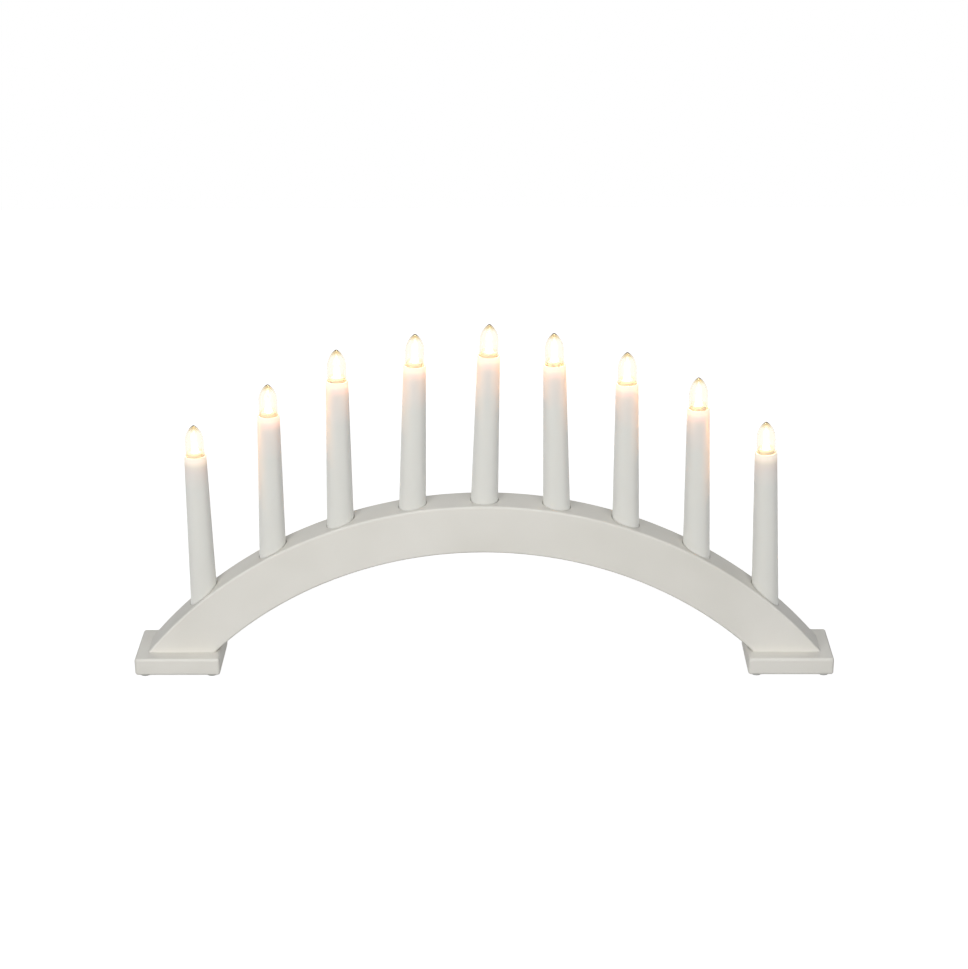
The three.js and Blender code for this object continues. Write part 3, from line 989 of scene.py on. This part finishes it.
    def _add_wires(self) -> None:
        """Two wires along the groove, and a pair from there up every candle."""
        ends = (self.candles[0], self.candles[-1])
        first, last = (candle.wire_direction(self)[0] for candle in ends)
        for number, side in enumerate((-1, 1), 1):
            y = side * self.wire_radius * WIRE_SPREAD
            angles = spread(first, last, self.wire_steps)
            route = [self.on_arc(self.bundle_radius, angle, y) for angle in angles]
            mesh = tube_along(f"groove_wire_{number}", route, self.wire_radius, 10)
            stands_for = ["wire_harness"] if number == 1 else []
            add_piece(f"groove_wire_{number}", mesh, WIRE, stands_for=stands_for)
        for candle in self.candles:
            candle.add_wires(self)


@dataclass
class Plinth:
    """A block under one foot of the arch, with its screws and its pads."""

    side: str
    edge: float = 2.2
    screws: int = 2
    screw_gap: float = 0.3
    screw_room: float = 2.0
    pads: int = 4
    pad_round: float = 0.8
    pad_edge: float = 0.2
    screw: WoodScrew = WoodScrew(3.8, 8.0, 2.4, 0.6, 4.0, length=26.3)

    def build(self) -> None:
        """Makes the block, then its screws and pads."""
        node, screw_node = f"plinth_{self.side}", f"plinth_screw_{self.side}"
        places = [underside(f"{screw_node}_{number}") for number in range(1, self.screws + 1)]
        block = self.screw.sink(self._block(node), places, self.screw_gap, self.screw_room)
        add_piece(f"plinth_block_{self.side}", block, PAINT, stands_for=[node], level_normals=True)
        self.screw.add(f"foot_screw_{self.side}", screw_node, places)
        for number in range(1, self.pads + 1):
            self._add_pad(f"{self.side}_{number}")

    def _block(self, node: str) -> Mesh:
        """A block with all its edges rounded.

        Args:
            node: the solid whose box it fills.

        Returns:
            The new mesh.
        """
        low, high = (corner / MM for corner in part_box(node))
        shape = bmesh.new()
        bmesh.ops.create_cube(shape, size=1.0)
        for corner in shape.verts:
            for axis in range(3):
                corner.co[axis] = (low if corner.co[axis] < 0 else high)[axis] * MM
        bmesh.ops.bevel(
            shape,
            geom=shape.edges[:],
            offset=self.edge * MM,
            segments=EDGE_STEPS,
            profile=0.5,
            affect="EDGES",
        )
        mesh = bpy.data.meshes.new(f"plinth_block_{self.side}")
        shape.to_mesh(mesh)
        shape.free()
        return mesh

    def _add_pad(self, label: str) -> None:
        """A soft pad with a rounded foot.

        Args:
            label: the side and number of its solid.
        """
        node = f"pad_{label}"
        low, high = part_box(node)
        radius, height = (high.x - low.x) / 2 / MM, (high.z - low.z) / MM
        turn, edge = self.pad_round, self.pad_edge
        profile = [(0.0, 0.0)] + arc_points((radius - turn, turn), turn, -90, 0)
        profile += [(radius, height - edge), (radius - edge, height), (0.0, height)]
        mesh = revolve(f"foot_pad_{label}", profile, 32)
        add_piece(mesh.name, mesh, PAD, stands_for=[node], place=underside(node))


@dataclass
class Candle:
    """A candle tube with its lampholder, and the bulb that screws into it.

    The candle's own zero is the middle of the tube's rim, with Z along the candle's axis.
    """

    number: int
    at_end: bool = False
    sides: int = 64
    gap: float = 0.3
    chamfer: float = 0.3
    tube_length: float = 128.9
    tube_rows: int = 12
    foot_radius: float = 10.5
    rim_radius: float = 8.4
    rim_edge: float = 0.5
    bore: float = 7.3
    ledge_reach: float = 1.6
    ledge_height: float = 2.0
    lens_radius: float = 7.0
    lens_wall: float = 1.0
    lens_shown: float = 24.2
    lens_point: float = 13.0
    lens_steps: int = 20
    lens_tip: float = 1.4
    lens_fullness: float = 0.85
    lens_edge: float = 0.25
    tip_round: float = 0.5
    lens_skirt: float = 2.0
    flange: float = 1.2
    neck: float = 1.0
    thread_radius: float = 4.75
    thread_depth: float = 0.5
    thread_pitch: float = 1.814
    thread_turns: int = 5
    rows_per_turn: int = 8
    insulator: float = 1.4
    insulator_rim: float = 0.5
    contact_radius: float = 2.0
    contact: float = 0.8
    plug: float = 4.5
    seal_edge: float = 0.6
    emitter_radius: float = 2.5
    emitter: float = 2.6
    emitter_dome: float = 1.2
    button_radius: float = 2.0
    button: float = 1.2
    holder_floor: float = 2.0
    holder_edge: float = 0.4
    holder_thread: float = 0.4
    holder_rows: int = 40
    wire_radius: float = 0.55
    wire_below_floor: float = 2.0
    wire_above_floor: float = 4.0
    wire_steps: int = 8
    light_height: float = 7.2
    light_radius: float = 1.0
    light_watts: float = 0.07
    light_tint: str = "FFB46B"

    def __post_init__(self) -> None:
        """Takes the axis from the joint that the bulb turns on, and works out the heights."""
        joint = next(j for j in frame["joints"] if j["name"] == f"bulb_{self.number}_turn")
        axis = Vector(joint["axis"]).normalized()
        lean = math.atan2(axis.x, axis.z)
        self.place = Matrix.Translation(Vector(joint["pos_m"])) @ Matrix.Rotation(lean, 4, "Y")
        self.seat = self.tube_length + self.gap
        self.flange_top = -self.lens_skirt - self.gap
        self.flange_foot = self.flange_top - self.flange
        self.thread_top = self.flange_foot - self.neck
        self.thread_foot = self.thread_top - self.thread_turns * self.thread_pitch
        self.insulator_foot = self.thread_foot - self.insulator
        self.contact_foot = self.insulator_foot - self.contact
        self.holder_top = self.flange_foot - self.gap
        self.button_top = self.contact_foot - self.gap
        self.floor_top = self.button_top - self.button
        self.holder_foot = self.floor_top - self.holder_floor
        self.ledge_top = self.holder_foot - self.gap
        self.plug_top = self.flange_top + self.plug
        self.lens_inside = self.lens_radius - self.lens_wall

    def build(self) -> None:
        """Makes the tube, the lampholder and the bulb."""
        self._add_tube()
        self._add_holder()
        self._add_cap()
        self._add_emitter()
        self._add_lens()
        self._add_light()

    def bore_tool(self, radius: float, rise: float) -> Mesh:
        """The bore that the tube stands in, in the candle's own space, as a rod of this rise."""
        return rod(radius, -self.seat, -self.seat + rise, self.sides)

    def wire_direction(self, bow: Bow) -> tuple[float, float]:
        """Where the wires leave the groove for this candle.

        Args:
            bow: the arch that holds the groove.

        Returns:
            The angle from the crown, and the distance from the arch's centre to the bore's floor.
        """
        floor = self.place @ Vector((0, 0, -self.seat * MM)) / MM
        across, up = floor.x, floor.z - bow.centre_z
        return math.atan2(across, up), math.hypot(across, up)

    def add_wires(self, bow: Bow) -> None:
        """Two thin wires from the groove, through the bore's floor, up to the lampholder.

        Args:
            bow: the arch that holds the groove.
        """
        angle, reach = self.wire_direction(bow)
        start, top = -self.seat + self.wire_above_floor, self.holder_foot - self.gap
        for count, side in enumerate((-1, 1), 1):
            y = side * self.wire_radius * WIRE_SPREAD
            below = (bow.bundle_radius, reach - self.wire_below_floor)
            route = [bow.on_arc(radius, angle, y) for radius in below]
            for height in spread(start, top, self.wire_steps):
                route.append(self.place @ (Vector((0, y, height)) * MM) / MM)
            name = f"candle_wire_{self.number}_{count}"
            add_piece(name, tube_along(name, route, self.wire_radius, 8), WIRE)

    def _turn(
        self,
        name: str,
        profile: Profile,
        finish: Finish,
        body: str,
        sides: int,
        node: str = "",
        **how: Any,
    ) -> Object:
        """Turns a numbered piece about this candle's axis. The rest goes on to revolve."""
        mesh, nodes = revolve(name, profile, sides, **how), [node] if node else []
        return add_piece(f"{name}_{self.number}", mesh, finish, body, nodes, self.place)

    def _add_tube(self) -> None:
        """The tapered sleeve, open at both ends, with a rounded rim and a ledge inside."""
        foot, edge, rows = -self.tube_length, self.rim_edge, self.tube_rows
        ledge = self.bore - self.ledge_reach
        ledge_foot = self.ledge_top - self.ledge_height
        radii = spread(self.foot_radius, self.rim_radius, rows)
        profile = [(self.bore, foot)] + list(zip(radii, spread(foot, 0.0, rows)))[:-1]
        profile += arc_points((self.rim_radius - edge, -edge), edge, 0, 90)
        profile += arc_points((self.bore + edge / 2, -edge / 2), edge / 2, 90, 180, 3)
        profile += [(self.bore, self.ledge_top), (ledge, self.ledge_top)]
        profile += [(ledge, ledge_foot), (self.bore, ledge_foot)]
        finish, node = END_CANDLE if self.at_end else CANDLE, f"candle_tube_{self.number}"
        self._turn("candle_sleeve", profile, finish, STAND, self.sides, node, closed=True)

    def _add_holder(self) -> None:
        """The screw lampholder: a sleeve with a rolled thread inside and a contact button."""
        outside, bore, edge = self.bore - self.gap, self.thread_radius + self.gap, self.holder_edge
        foot, top, floor = self.holder_foot, self.holder_top, self.floor_top
        profile = [(0.0, foot), (outside - edge, foot), (outside, foot + edge)]
        profile += [(outside, top - edge), (outside - edge, top), (bore + edge, top)]
        profile += [(bore, top - edge)]
        heights = spread(top - 2 * edge, floor + edge, self.holder_rows)
        profile += [(bore, height, self.holder_thread) for height in heights]
        button, button_top, chamfer = self.button_radius, self.button_top, self.chamfer
        profile += [(bore, floor), (button, floor), (button, button_top - chamfer)]
        profile += [(button - chamfer, button_top), (0.0, button_top)]
        node, pitch = f"lampholder_{self.number}", self.thread_pitch
        self._turn("lampholder_shell", profile, HOLDER, STAND, 40, node, pitch=pitch)

    def _add_cap(self) -> None:
        """The bulb's screw cap, with the seal on top of it and its insulator and contact below."""
        body, chamfer, wide = f"bulb_cap_{self.number}", self.chamfer, self.lens_radius
        foot, top, thread_foot = self.flange_foot, self.flange_top, self.thread_foot
        root = self.thread_radius - self.thread_depth
        shell = [(0.0, thread_foot), (root - chamfer, thread_foot)]
        rows = self.rows_per_turn * self.thread_turns
        for k, height in enumerate(spread(thread_foot, self.thread_top, rows)):
            # The thread fades in and out over a quarter of its length.
            fade = min(1.0, 4 * k / rows, 4 * (1 - k / rows))
            shell.append((root, height, self.thread_depth * fade))
        shell += [(root, foot), (wide - chamfer, foot), (wide, foot + chamfer)]
        shell += [(wide, top), (0.0, top)]
        self._turn("screw_cap", shell, NICKEL, body, 48, body, pitch=self.thread_pitch)
        plug, turn = self.lens_inside - self.gap, self.seal_edge
        seal = [(0.0, top), (plug, top)]
        seal += arc_points((plug - turn, self.plug_top - turn), turn, 0, 90)
        self._turn("cap_seal", seal + [(0.0, self.plug_top)], SEAL, body, 48)
        low, small = self.insulator_foot, self.contact_radius
        cone = [(0.0, low), (small + self.insulator_rim, low)]
        cone += [(root - chamfer, thread_foot), (0.0, thread_foot)]
        self._turn("cap_insulator", cone, VITRITE, body, 40)
        drop = [(0.0, self.contact_foot)]
        drop += arc_points((small - self.contact, low), self.contact, -90, 0)
        self._turn("cap_contact", drop + [(0.0, low)], SOLDER, body, 32)

    def _add_emitter(self) -> None:
        """The light emitter on top of the seal: a short post with a dome."""
        radius, top = self.emitter_radius, self.plug_top + self.emitter
        post = [(0.0, self.plug_top), (radius, self.plug_top), (radius, top)]
        for angle in spread(0.0, math.pi / 2, 6)[1:-1]:
            post.append((radius * math.cos(angle), top + self.emitter_dome * math.sin(angle)))
        post.append((0.0, top + self.emitter_dome))
        self._turn("bulb_emitter", post, EMITTER, f"bulb_cap_{self.number}", 32)

    def _dome(self, radius: float, top: float) -> list[Point]:
        """Half outline of the glass's pointed part, from its straight foot to its tip."""
        foot, shares = self.lens_shown - self.lens_point, spread(0.0, 1.0, self.lens_steps)
        return [(radius * (1 - s**2) ** self.lens_fullness, foot + (top - foot) * s) for s in shares]

    def _add_lens(self) -> None:
        """The bulb's glass: a pointed shell, open below, with a solid, slightly rounded tip."""
        inside = self._dome(self.lens_inside, self.lens_shown - self.lens_tip)
        outside = self._dome(self.lens_radius, self.lens_shown)
        outside[-1] = (0.0, self.lens_shown - self.tip_round / 2)
        low, edge = -self.lens_skirt, self.lens_edge
        profile = inside[::-1] + [(self.lens_inside, low + edge), (self.lens_inside + edge, low)]
        profile += [(self.lens_radius - edge, low), (self.lens_radius, low + edge)] + outside
        body = f"bulb_lens_{self.number}"
        glass = self._turn("bulb_glass", profile, GLASS, body, self.sides, body)
        glass.visible_shadow = False

    def _add_light(self) -> None:
        """The light that the lit bulb throws on its neighbours and on the deck."""
        lamp = bpy.data.lights.new(f"bulb_light_{self.number}", "POINT")
        lamp.energy = self.light_watts
        lamp.color = linear(self.light_tint)[:3]
        lamp.shadow_soft_size = self.light_radius * MM
        holder = put_in_scene(lamp.name, lamp)
        spot = self.place @ Vector((0, 0, self.light_height * MM))
        holder.matrix_world = Matrix.Translation(spot)
        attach(holder, f"bulb_lens_{self.number}")


# Studio


@dataclass
class PhotoCamera:
    """The camera, where the photograph was taken from. Its angles are in radians."""

    x: float = 14.4
    y: float = -1492.0
    z: float = 786.6
    pitch: float = 0.40245
    yaw: float = -0.0092
    roll: float = -0.0055
    focal_pixels: float = 2143.7
    sensor_mm: float = 36.0
    clip_end_m: float = 50.0

    def build(self) -> None:
        """Makes the camera and gives it to the scene."""
        data = bpy.data.cameras.new("photo_camera")
        data.sensor_width = self.sensor_mm
        data.lens = self.focal_pixels * self.sensor_mm / max(IMAGE_WIDTH, IMAGE_HEIGHT)
        data.clip_end = self.clip_end_m
        camera = put_in_scene("photo_camera", data)
        level = math.cos(self.pitch)
        across, along = math.sin(self.yaw) * level, math.cos(self.yaw) * level
        ahead = Vector((across, along, -math.sin(self.pitch)))
        right = ahead.cross(Vector((0, 0, 1))).normalized()
        up = right.cross(ahead)
        tilted_right = right * math.cos(self.roll) + up * math.sin(self.roll)
        tilted_up = up * math.cos(self.roll) - right * math.sin(self.roll)
        turn = Matrix((tilted_right, tilted_up, -ahead)).transposed().to_4x4()
        spot = Vector((self.x, self.y, self.z)) * MM
        camera.matrix_world = Matrix.Translation(spot) @ turn
        bpy.context.scene.camera = camera


@dataclass(frozen=True)
class Softbox:
    """A square soft light that faces the object."""

    name: str
    azimuth_deg: float
    watts: float
    elevation_deg: float = 22.0
    distance: float = 1600.0
    side: float = 900.0
    tint: str = "FFFFFF"
    highlights: bool = True

    def build(self, target: Vector) -> None:
        """Makes the lamp.

        Args:
            target: the point that it faces, in metres.
        """
        lamp = bpy.data.lights.new(self.name, "AREA")
        lamp.shape = "SQUARE"
        lamp.size = self.side * MM
        lamp.energy = self.watts
        lamp.color = linear(self.tint)[:3]
        box = put_in_scene(self.name, lamp)
        box.visible_glossy = self.highlights
        azimuth, elevation = math.radians(self.azimuth_deg), math.radians(self.elevation_deg)
        level = math.cos(elevation)
        away = Vector((math.sin(azimuth) * level, -math.cos(azimuth) * level, math.sin(elevation)))
        turn = away.to_track_quat("Z", "Y").to_matrix().to_4x4()
        box.matrix_world = Matrix.Translation(target + away * self.distance * MM) @ turn


@dataclass
class Studio:
    """A white floor, soft light from the front, a fill from behind and a white surround."""

    floor_reach: float = 1300.0
    floor_tint: str = "9A9A98"
    floor_glow: float = 0.9
    ambient: str = "EEF4FF"
    ambient_strength: float = 0.16
    target: tuple[float, float, float] = (0.0, 0.0, 110.0)
    softboxes: tuple[Softbox, ...] = (
        Softbox("left_softbox", -28.0, 12.9),
        Softbox("middle_softbox", 0.0, 9.0, 50.0, 2200.0, 1300.0, tint="FBFCFF"),
        Softbox("right_softbox", 28.0, 7.4),
        # The fill gives no highlights, because from the front they would lie along the arch's top.
        Softbox("back_softbox", 180.0, 23.0, 16.0, 2400.0, 500.0, highlights=False),
    )

    def build(self) -> None:
        """Makes the floor, the lamps and the surround."""
        self._add_floor()
        for softbox in self.softboxes:
            softbox.build(Vector(self.target) * MM)
        self._set_world()
        bpy.context.scene.view_settings.view_transform = "Standard"

    def _seen_directly(self, tree: NodeTree) -> NodeSocket:
        """Tells rays that show a surface from rays that carry light.

        Args:
            tree: the node tree that asks.

        Returns:
            A socket with 1 for rays from the camera, reflections and glass, and 0 for light.
        """
        path = add_node(tree, "LightPath")
        links = {0: path.outputs["Is Camera Ray"], 1: path.outputs["Is Glossy Ray"]}
        either = add_node(tree, "Math", {"operation": "MAXIMUM"}, links)
        links = {0: either.outputs[0], 1: path.outputs["Is Transmission Ray"]}
        return add_node(tree, "Math", {"operation": "MAXIMUM"}, links).outputs[0]

    def _add_floor(self) -> None:
        """A pale floor that reads as white paper and keeps a soft shadow."""
        reach = self.floor_reach * MM
        corners = [(-reach, -reach, 0), (reach, -reach, 0), (reach, reach, 0), (-reach, reach, 0)]
        mesh = new_mesh("paper_floor", corners, [(0, 1, 2, 3)])
        floor = put_in_scene("paper_floor", mesh)
        material = bpy.data.materials.new("white_paper")
        material.use_nodes = True
        tree = material.node_tree
        tree.nodes.clear()
        paper = add_node(tree, "BsdfDiffuse", {"Color": linear(self.floor_tint)})
        settings = {"operation": "MULTIPLY", 1: self.floor_glow}
        strength = add_node(tree, "Math", settings, {0: self._seen_directly(tree)})
        white = add_node(tree, "Emission", None, {"Strength": strength.outputs[0]})
        links = {0: paper.outputs[0], 1: white.outputs[0]}
        both = add_node(tree, "AddShader", None, links)
        add_node(tree, "OutputMaterial", None, {"Surface": both.outputs[0]})
        mesh.materials.append(material)

    def _set_world(self) -> None:
        """A soft surround for light, and plain white where it is seen directly."""
        world = bpy.data.worlds.new("studio")
        world.use_nodes = True
        tree = world.node_tree
        tree.nodes.clear()
        settings = {"Color": linear(self.ambient), "Strength": self.ambient_strength}
        soft = add_node(tree, "Background", settings)
        white = add_node(tree, "Background", {"Color": (1, 1, 1, 1), "Strength": 1.0})
        links = {0: self._seen_directly(tree), 1: soft.outputs[0], 2: white.outputs[0]}
        mixed = add_node(tree, "MixShader", None, links)
        add_node(tree, "OutputWorld", None, {"Surface": mixed.outputs[0]})
        bpy.context.scene.world = world


def main() -> None:
    """Builds the studio, then the object from the table up."""
    logging.basicConfig(level=logging.INFO, format="%(name)s: %(message)s")
    PhotoCamera().build()
    Studio().build()
    for side in ("left", "right"):
        Plinth(side).build()
    count = sum(1 for node in frame["nodes"] if node.startswith("candle_tube_"))
    candles = [Candle(number, at_end=number in (1, count)) for number in range(1, count + 1)]
    Bow(candles).build()
    for candle in candles:
        candle.build()


if __name__ == "__main__":
    main()
